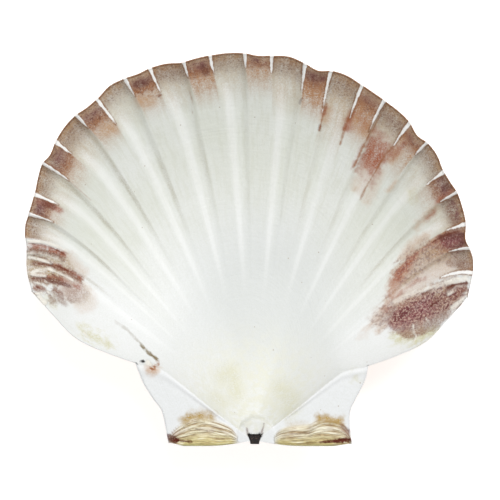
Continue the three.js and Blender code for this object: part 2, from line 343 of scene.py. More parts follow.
def area_share(x, y):
    top = area_height(x)
    beside_boss = soft_step(np.abs(x - BOSS["x"]) - BOSS["half_width"], *AREA_BY_BOSS)
    return (1 - soft_step(y - top, *AREA_EDGE)) * soft_step(top, *AREA_ENDS) * beside_boss


print("tallest ligament area, mm", max(height for _, height in LEFT_AREA + RIGHT_AREA))

# %% [markdown]
# The two ears fill the corners between the hinge line and the flanks of the fan. Each has a free
# edge that runs from the notch to the end of the hinge. A place on an ear is given by out, as on
# the disc, and across, from 0 where it joins the disc to 1 at the hinge line. A low fold runs
# along the join.

# %% The ears
LEFT_EAR = [(-29.9, 15.6), (-27.3, 11.4), (-25.0, 8.2), (-24.0, 4.2), (-23.1, -0.6)]
RIGHT_EAR = [(29.9, 16.2), (27.4, 11.2), (26.0, 8.0), (25.9, 4.0), (26.4, -0.9)]
FOLD = {"rise": 0.45, "middle": 0.06, "width": 0.05}


def ear_place(free_edge, out, across, side):
    notch = [float(v) for v in disc_place(np.array(NOTCH_OUT), np.array(float(side)))]
    corners = [notch, *free_edge]
    place = across * len(free_edge)
    free_x, free_y = (curve_through(list(enumerate(axis)), place) for axis in zip(*corners))
    reach = np.hypot(free_x, free_y)
    share = distance_out(out, reach / NOTCH_OUT) / reach
    notch_share = distance_out(out, np.hypot(*notch) / NOTCH_OUT) / np.hypot(*notch)
    fold_x, fold_y = disc_place(out, np.full_like(out, side))
    x = free_x * share + (1 - across) * (fold_x - notch[0] * notch_share)
    y = free_y * share + (1 - across) * (fold_y - notch[1] * notch_share)
    bow = hinge_line(x) - share * free_edge[-1][1]
    return x, y + bow * across**3 * (1 - soft_step(share, 0.8, 1))


def ear_lift(out, across):
    return blend(hollow(out, 1.0), -EAR_DROP_AT_HINGE, across)


print("ear tips at", LEFT_EAR[-1], RIGHT_EAR[-1])

# %% [markdown]
# The valve starts as one flat grid: ear, disc and ear side by side, with the rows running from the
# umbo to the margin. The columns stand close together at the edges of the channels, and the rows
# near the boss and the margin, because that is where the relief is crisp. The parts of the ear
# columns beyond the notch are cut away, and the first row is drawn together into the umbo.

# %% One flat grid for the whole valve
HALF_RIB = [0.08, 0.16, 0.22, 0.255, 0.275, 0.295, 0.32, 0.36, 0.42]
RIB_OFFSETS = [-0.5, *(-step for step in reversed(HALF_RIB)), 0.0, *HALF_RIB]
EAR_COLUMNS = 34
FLANK_COLUMNS = 13
ROW_SPANS = [(0, 0.03, 11), (0.03, 0.062, 4), (0.062, 0.1, 8), (0.1, NOTCH_OUT, 32),
             (NOTCH_OUT, 0.72, 20), (0.72, 0.88, 24), (0.88, 1, 30)]
FINE_STEPS, CLEAR_OF_FLANK = 4001, 0.3
TINY = 1e-6


def disc_columns():
    fine = np.linspace(-1, 1, FINE_STEPS)
    wanted = [rib + offset for rib in range(-7, 8) for offset in RIB_OFFSETS]
    numbers = rib_number(fine)
    low, high = numbers[0] + CLEAR_OF_FLANK, numbers[-1] - CLEAR_OF_FLANK
    inside = [n for n in wanted if low < n < high]
    ribbed = np.interp(inside, numbers, fine)
    left = np.linspace(-1, ribbed[0], FLANK_COLUMNS, endpoint=False)
    right = np.linspace(1, ribbed[-1], FLANK_COLUMNS, endpoint=False)[::-1]
    return np.concatenate([left, ribbed, right])


def out_rows():
    spans = [np.linspace(low, high, count, endpoint=False) for low, high, count in ROW_SPANS]
    return np.append(np.concatenate(spans), 1.0)


rounds = disc_columns()
rows = out_rows()
column_round = np.concatenate([np.full(EAR_COLUMNS, -1.0), rounds, np.full(EAR_COLUMNS, 1.0)])
ear_steps = np.arange(1, EAR_COLUMNS + 1) / EAR_COLUMNS
column_across = np.concatenate([ear_steps[::-1], np.zeros(len(rounds)), ear_steps])

shell_mesh = bmesh.new()
bmesh.ops.create_grid(
    shell_mesh, x_segments=len(column_round) - 1, y_segments=len(rows) - 1, size=1.0
)
out_layer = shell_mesh.verts.layers.float.new("out")
round_layer = shell_mesh.verts.layers.float.new("round")
across_layer = shell_mesh.verts.layers.float.new("across")
for vertex in shell_mesh.verts:
    column = round((vertex.co.x + 1) / 2 * (len(column_round) - 1))
    row = round((vertex.co.y + 1) / 2 * (len(rows) - 1))
    vertex[out_layer] = rows[row]
    vertex[round_layer] = column_round[column]
    vertex[across_layer] = column_across[column]

beyond_notch = [
    face for face in shell_mesh.faces
    if max(v[across_layer] for v in face.verts) > 0
    and max(v[out_layer] for v in face.verts) > NOTCH_OUT + TINY
]
bmesh.ops.delete(shell_mesh, geom=beyond_notch, context="FACES")
print("grid", len(rows), "rows,", len(column_round), "columns,", len(shell_mesh.faces), "faces")

# %% [markdown]
# Now the flat grid gets its outline. The rim stands out or in a little at each rib and land, by
# amounts that were measured four times a rib, from rib -7 to rib 7. Each vertex is moved to its
# place seen from above, and the outward direction is kept on every vertex of the open edge, for
# the rounded lip that comes later.

# %% Give the grid its outline
RIM_REACH = [
    -0.3, -0.5, 0.0, 0.25, 0.0, -0.3, -0.5, 0.3, 0.55, 0.0, -0.45, -0.45, 0.15, 0.6, -0.45, 0.3,
    0.65, 0.6, -0.05, 0.2, 1.2, 0.9, 0.25, 0.45, 0.2, -0.6, -0.25, 0.15, 0.45, 0.35, -0.3, 0.25,
    0.75, 0.0, -0.95, 0.55, 1.1, 0.8, 0.6, 0.65, 0.8, 0.65, -0.55, 0.45, 0.55, -0.4, -0.35, 0.3,
    0.2, -0.15, -1.5, -0.35, 0.5, 0.5, 0.0, -0.6, -0.4,
]
RIM = list(zip(np.arange(-7, 7.25, 0.25), RIM_REACH))
WELD_DISTANCE = 1e-3
LIP_ROUNDING = 0.35


def layer_values(mesh, layer):
    return np.array([vertex[layer] for vertex in mesh.verts])


def flat_places(out, round_, across):
    number = rib_number(round_)
    scallop = curve_through(RIM, number) * rib_strength(round_) * out**8
    disc_x, disc_y = disc_place(out, rib_line(out, round_), scallop)
    left_x, left_y = ear_place(LEFT_EAR, out, across, -1)
    right_x, right_y = ear_place(RIGHT_EAR, out, across, 1)
    on_left, on_right = (across > 0) & (round_ < 0), (across > 0) & (round_ > 0)
    x = np.where(on_left, left_x, np.where(on_right, right_x, disc_x))
    y = np.where(on_left, left_y, np.where(on_right, right_y, disc_y))
    return x, y


def read_layers(mesh):
    return [layer_values(mesh, layer) for layer in (out_layer, round_layer, across_layer)]


flat_x, flat_y = flat_places(*read_layers(shell_mesh))
for vertex, x, y in zip(shell_mesh.verts, flat_x, flat_y):
    vertex.co = (x, y, 0)
first_row = [vertex for vertex in shell_mesh.verts if vertex[out_layer] == 0]
bmesh.ops.remove_doubles(shell_mesh, verts=first_row, dist=WELD_DISTANCE)

outward_layer = shell_mesh.verts.layers.float_vector.new("outward")
for edge in shell_mesh.edges:
    if edge.is_boundary:
        along = edge.verts[1].co - edge.verts[0].co
        side = Vector((along.y, -along.x, 0))
        middle = (edge.verts[0].co + edge.verts[1].co) / 2
        if side.dot(middle - edge.link_faces[0].calc_center_median()) < 0:
            side.negate()
        for vertex in edge.verts:
            vertex[outward_layer] += side.normalized()
open_edge = [vertex for vertex in shell_mesh.verts if vertex.is_boundary]
for vertex in open_edge:
    vertex[outward_layer] = vertex[outward_layer].normalized()
print("outline", len(open_edge), "vertices round the open edge")

# %% [markdown]
# One extrusion turns the sheet into two skins joined by a wall round the open edge. A layer named
# outside holds 0 on the hollow side and 1 on the domed side. The wall is cut three times, so that
# its middle can stand out as a rounded lip.

# %% Two skins and a lip
LIP_CUTS = 3

outside_layer = shell_mesh.verts.layers.float.new("outside")
grown = bmesh.ops.extrude_face_region(
    shell_mesh, geom=list(shell_mesh.faces), use_keep_orig=True
)
for item in grown["geom"]:
    if isinstance(item, bmesh.types.BMVert):
        item[outside_layer] = 1
wall = [
    edge for edge in shell_mesh.edges
    if edge.verts[0][outside_layer] != edge.verts[1][outside_layer]
]
bmesh.ops.subdivide_edges(shell_mesh, edges=wall, cuts=LIP_CUTS, use_grid_fill=True)
print("two skins:", len(shell_mesh.verts), "vertices,", len(shell_mesh.faces), "faces")

# %% [markdown]
# Each skin now gets its heights from the forms above, with the beak under the umbo and a small
# knob at the left notch. Where the domed side would reach below the surface that the valve lies
# on, the ribs are worn flat. The lip isn't rounded beside the pit, where the hinge is cut off
# square.

# %% Give both skins their heights
KNOB = {"x": -28.1, "y": 21.1, "height": 0.9, "width": 1.1}
BEAK_DEPTH, BEAK_WIDTH = 5.5, 6.5
EAR_WALL, LEAST_WALL = 2.6, 0.4


def inner_height(x, y, out, round_, across):
    line = rib_line(out, round_)
    disc = hollow(out, line) + inner_relief(out, round_)
    ear = ear_lift(out, across) + AREA_RISE * area_share(x, y)
    fold = FOLD["rise"] * hump(across, FOLD["middle"], FOLD["width"])
    ear = ear + fold * soft_step(out, 0.1, 0.2)
    knob = KNOB["height"] * hump(np.hypot(x - KNOB["x"], y - KNOB["y"]), 0, KNOB["width"])
    bare = np.where(across > 0, ear, disc) + knob
    with_boss = blend(bare, -BOSS["drop"], boss_share(x, y))
    return blend(with_boss, -BOSS["drop"] - PIT["depth"], pit_share(x, y))


def outer_height(x, out, round_, across):
    line = rib_line(out, round_)
    middle = blend(WALL_UMBO, WALL_MIDDLE, soft_step(out, 0, 0.4))
    level = blend(middle, WALL_MARGIN, soft_step(out, 0.45, 1))
    wall = blend(level, np.minimum(level, WALL_FLANK), soft_step(np.abs(round_), 0.85, 1))
    beak = BEAK_DEPTH * np.exp(-((x / BEAK_WIDTH) ** 2))
    disc = hollow(out, line) - wall * steepness(out, line) + outer_relief(out, line, round_)
    disc = disc - beak / 2 * (1 - soft_step(out, 0, 0.06))
    ear = ear_lift(out, across) - blend(WALL_FLANK, EAR_WALL, across) - beak * across
    return np.where(across > 0, ear, disc)


out, round_, across = read_layers(shell_mesh)
outside = layer_values(shell_mesh, outside_layer)
flat_x, flat_y = flat_places(out, round_, across)
outward = np.array([vertex[outward_layer] for vertex in shell_mesh.verts])
at_edge = np.linalg.norm(outward, axis=1) > 0.5
by_pit = (across > 0.99) * (1 - soft_step(out, 0.06, 0.12))
lip = np.where(at_edge, (np.sin(np.pi * outside) - 1) * LIP_ROUNDING * (1 - by_pit), 0)
flat_x = flat_x + outward[:, 0] * lip
flat_y = flat_y + outward[:, 1] * lip
top = inner_height(flat_x, flat_y, out, round_, across)
bottom = np.minimum(outer_height(flat_x, out, round_, across), top - LEAST_WALL)
height = UMBO.z + blend(top, bottom, outside) * METRE
places = np.column_stack([UMBO.x + flat_x * METRE, UMBO.y + flat_y * METRE, height])
places = np.clip(places, cad_box[0], cad_box[1])
for vertex, place in zip(shell_mesh.verts, places):
    vertex.co = place
bmesh.ops.recalc_face_normals(shell_mesh, faces=list(shell_mesh.faces))
print("valve from", places.min(0).round(5), "to", places.max(0).round(5))

# %% [markdown]
# A stained shell can't be painted with one colour, so each kind of stain is a number on every
# vertex, which the material reads later. Edges are kept as distances in millimetres, because
# those stay crisp between vertices. Most stains sit at the margin, one patch for each channel and
# each land, so a table gives for each rib number how far inward the dark part reaches, how softly
# it ends, how strong it is, how purple, and how far and how strongly a tan tail goes on. A second
# table says how far the white keel at each side of a channel runs inward.

# %% Stains along the margin
EDGE_STAINS = {
    -5: (4.8, 5, 0.72, 0, 11, 0.35), -4.5: (6.2, 2.6, 0.8, 0.55, 10, 0.4),
    -4: (4.4, 5, 0.74, 0, 12, 0.35), -3.5: (6.8, 3, 0.86, 0.4, 12, 0.5),
    -3: (5.2, 5.5, 0.74, 0, 13, 0.4), -2.5: (5.6, 2.2, 0.92, 0.45, 12, 0.6),
    -2: (3.6, 4.5, 0.64, 0, 11, 0.32), -1.5: (5.2, 1, 0.88, 0.42, 10.5, 0.55),
    -1: (4.6, 5, 0.82, 0.1, 12, 0.42), -0.5: (4.6, 2, 0.95, 0.55, 11.5, 0.75),
    0: (4.2, 5.5, 0.7, 0, 11.5, 0.4), 0.5: (3.2, 1.8, 0.8, 0.6, 10, 0.6),
    1: (4.6, 5, 0.74, 0.05, 15, 0.45), 1.5: (5.2, 2, 0.76, 0.45, 12.5, 0.95),
    2: (5, 5.5, 0.78, 0.05, 20, 0.6), 2.5: (4.8, 2.6, 0.8, 0.3, 14, 0.85),
    3: (5.2, 5, 0.76, 0.2, 15, 0.5), 3.5: (4.2, 2.4, 0.86, 0.35, 13, 0.6),
    4: (4.4, 5, 0.74, 0.1, 14, 0.3), 4.5: (5.8, 3, 0.86, 0.7, 11, 0.35),
    5: (5.2, 3.4, 0.9, 0.7, 11, 0.35), 5.5: (7.6, 2.4, 0.92, 0.8, 12, 0.8),
    6: (5.8, 3.5, 0.74, 0.1, 11, 0.35),
}
KEEL_LENGTH = {
    (-5, 1): 8, (-4, -1): 8, (-4, 1): 8.6, (-3, -1): 5.7, (-3, 1): 4.8, (-2, -1): 8.6,
    (-2, 1): 5.4, (-1, -1): 6.9, (-1, 1): 5, (0, -1): 5.2, (0, 1): 3.8, (1, -1): 4.8, (1, 1): 7.8,
    (2, -1): 11, (2, 1): 9, (3, -1): 9, (3, 1): 7.5, (4, -1): 4.8, (4, 1): 6.3, (5, -1): 5.5,
    (5, 1): 6.6, (6, -1): 7.4, (6, 1): 11,
}
KEEL_WIDTH = 1.0
WANDER_LENGTHS = (1.1, 1.7, 2.6, 4.1)
WANDER_WAVES, WANDER_REACH = 3, 1.375
HIGHLIGHT_AT, BANK_LINE_AT = 0.12, -0.19
BANK_LINE_GAPS = {"stretch": 5, "seed": 4}


def wander(x, y, seed):
    """Smooth, fixed unevenness in millimetres, made of a few waves that cross each other."""
    random = np.random.default_rng(seed)
    total = np.zeros(len(x))
    for length in WANDER_LENGTHS:
        for _ in range(WANDER_WAVES):
            angle, phase = random.uniform(0, 2 * np.pi, 2)
            total += length * np.sin((x * np.cos(angle) + y * np.sin(angle)) * 2 / length + phase)
    return WANDER_REACH * total / (WANDER_WAVES * sum(WANDER_LENGTHS))


def millimetres_per_rib(out, round_):
    step = 0.004
    before, after = np.clip(round_ - step, -1, 1), np.clip(round_ + step, -1, 1)
    ax, ay = disc_place(out, rib_line(out, before))
    bx, by = disc_place(out, rib_line(out, after))
    return np.hypot(bx - ax, by - ay) / np.maximum(rib_number(after) - rib_number(before), TINY)


number = rib_number(round_)
inward = (1 - out) * curve_through(MARGIN, round_ * FAN_HALF_ANGLE)
on_disc = across == 0
rib_width = millimetres_per_rib(out, round_)
keel_edge = np.full(len(out), 2.0)
for (rib, side), length in KEEL_LENGTH.items():
    taper = np.clip(1 - inward / length, 0, 1)
    half_keel = np.where(taper > 0, KEEL_WIDTH / 2 * taper**0.7, -0.5)
    away = np.abs(number - rib - side * CHANNEL_HALF_WIDTH) * rib_width
    keel_edge = np.minimum(keel_edge, away - half_keel)

middles = np.array(sorted(EDGE_STAINS))
half_widths = np.where(middles % 1 == 0.5, 0.5 - CHANNEL_HALF_WIDTH, CHANNEL_HALF_WIDTH)
beside = np.abs(number[:, None] - middles) - half_widths
own = beside.argmin(axis=1)
reach, softness, strength, violet, tail_reach, tail = np.array(
    [EDGE_STAINS[middle] for middle in middles])[own].T
in_patch = (1 - soft_step(beside.min(axis=1), 0, 0.03)) * on_disc
core = hump(number, middles[own], half_widths[own] * 0.8) * hump(inward, reach * 0.4, reach * 0.42)

mid_disc = soft_step(out, 0.35, 0.6) * (1 - soft_step(out, 0.9, 0.96))
mid_disc = mid_disc * rib_strength(round_) * on_disc
# Painted highlight: a pale band along the lit bank of each channel, where the light falls.
lit_bank_highlight = hump(towards_flank(number), HIGHLIGHT_AT, 0.09) * mid_disc
# A thin brownish line, painted only along the shaded bank of each channel and broken into gaps.
shaded_bank_line = 1 - soft_step(np.abs(towards_flank(number) - BANK_LINE_AT) * rib_width, 0.1, 0.7)
stretch = BANK_LINE_GAPS["stretch"]
gaps = wander(flat_x / stretch, flat_y / stretch, BANK_LINE_GAPS["seed"])
shaded_bank_line = shaded_bank_line * soft_step(gaps, -0.5, 0.9)
shaded_bank_line = shaded_bank_line * soft_step(out, 0.55, 0.8) * mid_disc
print("stained share of the valve", round(float(((inward < reach) * in_patch).mean()), 3))

# %% [markdown]
# The other marks don't repeat: streaks that follow a keel, blotches, the two large marbled
# patches by the flanks, and the stains of the hinge. They are strokes, as a hand with a brush
# would place them. Each stroke in the table says how strong it is, how wide in millimetres, and
# x and y of each point that the brush passes. The kinds are named for their colour. A wash is the
# pale ground of a marbled patch, and a blotch is a broad orange brown spot.

# %% Strokes placed one by one
STROKES = {
    "tan": [
        (0.55, 3, -30.7, 91.7, -28, 91.5), (0.5, 3.5, -39.8, 83.7, -38.2, 84.2),
        (0.45, 3.6, 30.2, 73, 28.4, 68.6), (0.3, 5, 31, 74, 29, 69),
        (0.5, 2.6, 19.8, 89.5, 19.3, 87), (0.42, 4, 26.4, 86.6, 30.2, 83.8),
        (0.6, 2.2, 38.6, 78, 37.4, 75.8), (0.3, 3, 34.2, 72.4, 32.3, 67.5, 30.9, 64.8),
        (0.6, 0.8, 36.3, 67.2, 38.5, 69.8), (0.6, 1.4, 49.5, 62.9, 46.8, 60.5, 44.1, 57.8),
        (0.5, 2.5, 46.8, 55.1, 43.3, 52.7, 40.6, 49.2),
        (0.5, 4.5, 49, 52.5, 44.1, 49.2, 40.4, 45.5, 38.5, 40.6),
        (0.36, 8, 50, 48.2, 44.7, 44.7, 40.4, 39.3), (0.34, 2.2, 35.2, 34.7, 33, 31.8),
        (0.2, 1.4, 33, 31.8, 30.1, 28.2), (0.22, 7, -49, 41, -46, 37.6),
        (0.3, 3, -50.4, 49.4, -46.6, 45.4), (0.5, 1.6, 33.4, 32.4, 36.6, 37.4),
        (0.75, 2.4, -28.2, 19.1, -26.6, 19.4), (0.4, 1.2, 30.4, 29.4, 33.4, 32.4),
        (0.25, 0.6, 28.6, 27.4, 30.4, 29.4), (0.45, 1.2, 33.2, 29.2, 37.8, 32.6),
        (0.5, 2.2, 40.6, 28.6, 45, 29.6),
    ],
    "red": [
        (0.8, 1.1, 19.3, 90, 19, 88.2), (0.5, 0.8, -26.8, 19.9, -27.8, 19.5),
        (0.75, 1.6, 26.4, 88.4, 25.4, 86.4, 24.6, 84.4), (0.5, 0.6, 25.3, 86, 24.4, 83.6),
        (0.6, 1.4, 40.6, 80.7, 39, 78.3, 37.7, 76.4),
        (0.7, 1.4, 53.3, 67.5, 51.1, 65.9, 49.5, 64.3), (0.6, 1.2, 49, 61.9, 46.8, 59.7),
        (0.8, 0.8, 48.2, 53.3, 51.6, 55.4, 56.2, 56), (0.5, 2.6, 51.5, 53.6, 56, 54.4),
        (0.5, 0.9, 48.2, 53.3, 44.1, 50.4, 40.6, 47.4, 38.2, 43.9, 37.1, 40.9),
        (0.45, 0.9, 42.6, 48.6, 40.8, 46.4, 39.4, 44), (0.45, 0.8, 37.7, 38.5, 35.2, 35),
        (0.55, 0.6, 35.7, 34.4, 38.2, 37.9, 43.2, 42.4, 46.3, 43.8),
        (0.7, 1.8, -57.8, 64.4, -54.9, 63.6, -52.6, 62.2),
        (0.95, 1.2, -60.4, 52.7, -56.1, 52.2, -51.5, 50.4),
        (0.8, 0.6, -58, 48.6, -54.2, 47.6, -50.2, 45.6, -47, 43.6),
        (0.7, 0.8, -59.2, 44.7, -54.3, 44.2, -50.3, 43, -47.6, 41.2),
        (0.6, 0.5, -58.9, 41.3, -54.9, 41),
    ],
    "blotch": [
        (0.35, 3, 28.6, 87.5, 30.4, 84.4), (0.6, 1.8, 26.6, 87.8, 25.6, 84.6),
        (0.8, 2.2, 43.2, 49.2, 41.2, 46.6), (0.85, 2.8, 40.8, 46.2, 39, 43.4),
        (0.55, 2.2, 38.8, 42.8, 37.8, 39.4),
    ],
    "dark": [
        (0.7, 0.6, -25.6, 93, -25.1, 93.3), (0.95, 1.7, -23, 1, -21.2, 0.1),
        (0.6, 0.9, 23.4, 4.4, 25.6, 2.6), (0.85, 1.3, 22, 0, 26, 0.3),
        (0.4, 0.25, -1.9, 3.5, -1.6, 1.3), (0.4, 0.25, 2.7, 4.6, 1.9, 1.3),
        (0.7, 0.6, 18, 85.4, 17.8, 83.9), (0.5, 0.6, 12.9, 92.3, 12.4, 91.2),
        (0.5, 2, -31.7, 96, -29.1, 96.6), (0.5, 2.2, -13.7, 100.6, -12.9, 99.3),
        (0.6, 1.4, 50, 71.3, 52.2, 70.2), (0.6, 2, 51.6, 68.3, 53.3, 69.1),
        (0.8, 1.6, 50.8, 54.7, 53.5, 55, 56.6, 55.4), (0.85, 1, 53.6, 51.2, 55.4, 52.6, 56.8, 54),
        (0.75, 1, 51.9, 41.9, 54.9, 42, 57, 42.2), (0.8, 1.2, 47.6, 36, 51.1, 37.6, 53.6, 38.6),
        (0.9, 2.2, 38.8, 32.8, 40.8, 34, 43, 34.8), (0.5, 1.2, 37, 31.8, 39.2, 32.9),
        (0.6, 1, -55.5, 43.2, -50, 41.6), (0.5, 1.8, -56.5, 63.8, -54.3, 63.2),
        (0.8, 0.6, -58.4, 62.4, -57.6, 61.1, -56, 60.3),
        (0.8, 0.6, -53.5, 78.8, -53, 77.5, -54.6, 76.1),
        (0.5, 2, 13.5, 99.3, 15.6, 97.9, 19.1, 97.9),
    ],
    "brown": [
        (0.3, 3, 35.6, 32.6, 38.6, 34.4), (0.62, 6.5, 42, 30.4, 46.8, 32.5, 49.5, 35.2),
        (0.8, 3.6, 47.3, 36.3, 51.6, 38.2, 56, 41.2),
        (0.6, 6.5, 38.7, 33.1, 43.3, 34.9, 47.3, 36.8), (0.5, 2.5, 53.3, 47.9, 57.6, 47.1),
        (0.8, 4, 52.5, 53.5, 55.5, 52.8), (0.9, 1.5, -60.2, 51.5, -56, 51.1, -51.8, 49.5),
        (0.95, 1.7, -59.5, 48, -55.9, 47.2, -52.7, 46.3, -49.5, 44.8, -47.4, 43.4),
        (0.9, 2.2, -59.2, 43.7, -54.3, 43.2, -50.3, 42, -48.4, 40.8),
        (0.8, 1.3, -58.9, 40.8, -54.9, 40.5, -52, 39.6),
        (0.5, 2.2, -54.5, 38, -50.5, 37.2, -48.4, 38.4), (0.2, 5, -49.5, 42, -47.5, 39.6),
    ],
    "purple": [
        (0.6, 4.4, 39.8, 33.1, 44.1, 34.9, 47.3, 36.2), (0.4, 3.6, 37.9, 31.2, 40.6, 32),
        (0.45, 3, 51, 53.2, 54, 53.6), (0.2, 4, -51.1, 41.2, -48.3, 39.8),
    ],
    "dark line": [
        (0.8, 0.45, -59.7, 52.9, -56.6, 52.5, -53.3, 51.4, -51.2, 50.2),
        (0.7, 0.35, -59.5, 49.9, -56.6, 49.2, -55, 48.4),
        (0.9, 0.55, -58.1, 47.8, -54.7, 47.4, -52.2, 46.6, -49.5, 45, -47.8, 43.8),
        (0.9, 0.35, -56.4, 45.2, -53.9, 44.7, -51.4, 43.9, -50.6, 43.4),
        (0.8, 0.5, -59.5, 43.8, -55.3, 43.7, -53, 43.2),
        (0.85, 0.55, -58.6, 41.5, -56.2, 41.3, -54.6, 40.6),
        (0.85, 0.55, 48.5, 53.4, 51.6, 55.5, 55, 56.2), (0.55, 0.8, 44.4, 39.3, 51.6, 41.5),
        (0.9, 0.9, 51.6, 41.5, 54.9, 42, 57.2, 42.5),
        (0.85, 0.9, 48, 36.2, 51.1, 37.8, 53.3, 38.8),
        (0.8, 0.7, -20.9, 0.2, -18.6, 0, -16.8, -0.2),
        (0.6, 0.3, -19.8, 2.6, -16.4, 3.2, -10.4, 2.6), (0.6, 0.35, 14.2, -0.5, 18, -0.3),
        (0.95, 0.8, 18, -0.3, 22.4, 0.1, 25.9, 0.2), (0.45, 0.3, 9.4, 2, 14.6, 2.2, 19.4, 2.6),
        (0.6, 0.25, -1.9, 3.7, -1.6, 1.3), (0.6, 0.25, 2.7, 4.7, 1.9, 1.3),
    ],
    "black": [
        # The first black stroke is a painted shadow: a small dark slot beside the knob at the left
        # notch.
        (1, 0.8, -30.5, 21.3, -29.6, 21.4), (1, 0.4, -1.2, 1.9, -0.8, 0.6),
        (1, 0.4, 1.6, 1.9, 1.2, 0.6),
    ],
    "line": [
        (0.45, 0.3, -54.3, 74.1, -48.7, 68.9, -44.4, 65),
        (0.95, 0.95, -26.1, 21.6, -26, 20.5, -26.8, 19.7, -28, 19.5),
        (0.4, 0.4, -17.6, 95.5, -16.9, 92.5, -16.5, 88.5),
        (0.8, 0.4, -32.6, 94.6, -28.5, 92.9, -25.1, 93.2),
        (0.75, 0.55, 35.8, 90.4, 30.7, 81.8, 27.2, 74),
        (0.7, 0.5, 41.9, 83.9, 35.8, 77.5, 30.7, 68.9, 29, 65.1), (0.75, 0.5, 19.6, 91, 17.8, 84),
        (0.75, 0.55, 28, 90.5, 24.9, 85.6, 23.4, 80.2),
        (0.5, 0.35, 44.5, 40.6, 50.5, 42.6, 57.5, 44.9),
    ],
    "olive line": [
        (0.35, 0.6, -37.9, 32.1, -34.5, 29.8, -30.9, 26),
        (1, 0.7, -30.7, 25.7, -29.5, 24.2, -28.2, 23.3, -26.8, 22.4, -26, 21.5),
    ],
    "wash": [
        (0.6, 9, -59, 47, -53.4, 45.8), (0.3, 6, -51, 42, -47.4, 39.8),
        (0.66, 7.5, 40, 33.6, 47, 36.6, 53.5, 39.8), (0.34, 6.5, 41.5, 45.5, 47, 50.5, 53, 52.5),
        (0.3, 5, 34.5, 32, 38, 36),
    ],
    "olive": [
        (0.7, 1.8, -46.5, 29.6, -42.5, 27.6, -39.5, 26.2),
        (0.75, 2.8, 38.6, 27.6, 43.6, 27.4, 48, 29.4),
        (0.35, 4, -8.6, 16.9, -5.9, 18.6, -4.8, 12.4), (0.3, 3, -10.5, 11.6, -8.6, 10),
        (0.28, 5, 7, 13.7, 10.2, 11, 9.7, 7.8), (0.5, 1.6, 42.8, 67.5, 43, 65.6),
        (0.4, 1.6, 27.2, 17.8, 27.4, 16.7), (0.5, 1.4, -56, 38.3, -53.3, 37.2),
    ],
    "white": [
        (0.95, 0.8, -60.8, 53.8, -56.6, 53.5, -53, 52.2), (0.6, 0.5, -53, 52.2, -50.6, 51),
        (1, 0.8, -60.8, 49.5, -58.1, 48.9, -54.9, 47.9),
        (1, 0.85, -59.7, 45.4, -57.2, 46.2, -54.3, 45.9),
        (0.8, 0.65, -54.3, 45.9, -51, 44.5, -49.1, 43.1), (0.9, 0.7, -59.7, 44.7, -56.4, 44.4),
        (0.9, 0.6, -59.3, 42.5, -55.9, 42.5), (0.95, 0.7, -58.9, 39.6, -54.3, 40, -52.8, 39),
        (0.9, 1.8, -58, 38.2, -56.6, 37.2), (1, 0.8, 51.6, 42.8, 57.8, 44.4),
        (0.45, 1.2, 58.3, 43.2, 50.8, 41.9, 44.7, 40.4, 38.2, 37.4),
        (0.8, 1, 53.4, 35.8, 56.4, 38.2), (0.75, 0.6, 52.4, 39.2, 54.6, 39.9, 57, 39.9),
        (0.9, 0.4, 43.2, 31.5, 42.8, 29.9, 43.8, 28.2, 43, 26.6), (0.7, 0.6, 49, 34.4, 49.3, 34.3),
        (0.6, 0.4, 46.5, 33, 47.5, 31.5), (0.8, 0.4, -46, 29.3, -44.8, 28),
        (0.8, 1.2, -28.8, 21.2, -28, 20.6),
    ],
    "ochre": [
        (0.95, 1.8, -18.6, 5.6, -16, 6.9, -11.4, 6.4), (0.8, 1.2, -15.5, 7.4, -13.6, 7.2),
        (0.95, 2, 17.8, 6.2, 20.2, 6, 23, 5.2), (0.3, 1.6, 9.6, 3.8, 13.4, 4.2),
    ],
}

# %% [markdown]
# From the tables every vertex gets its marks: one number each for the patches, the keels, the
# shades of the white ground and the parts of the hinge, and two for each kind of stroke, its
# strength and the distance to its edge. One more blotch lies between two long streaks. It follows
# the rib there, so it is given by its rib number and by how far inward it lies.

# %% Put the marks on the vertices
BLOTCH = {"rib": 3.03, "half_width": 0.27, "inward": 12.6, "half_length": 5.0, "strength": 0.85,
          "end_softness": 0.45}
FAR = 9.0
CREAMY = {"y": 12, "squeeze": 0.8, "spread": (4, 24)}
DEEP_SHADE = {"x": 3, "y": 38, "spread": (8, 34)}
LEFT_TIP, RIGHT_TIP = (18.5, 23.0), (20.0, 26.0)


def away_from_line(x, y, line):
    nearest = np.full(len(x), np.inf)
    for ax, ay, bx, by in zip(line[::2], line[1::2], line[2::2], line[3::2]):
        dx, dy = bx - ax, by - ay
        t = np.clip(((x - ax) * dx + (y - ay) * dy) / (dx * dx + dy * dy), 0, 1)
        nearest = np.minimum(nearest, np.hypot(x - ax - t * dx, y - ay - t * dy))
    return nearest


def stroke_edges(kind):
    """Distance to the edge of the nearest stroke, negative within it, and its strength."""
    edge, strength = np.full(len(flat_x), FAR), np.zeros(len(flat_x))
    for own_strength, width, *line in STROKES[kind]:
        away = away_from_line(flat_x, flat_y, line) - width / 2
        strength = np.where(away < edge, own_strength, strength)
        edge = np.minimum(edge, away)
    return edge, strength


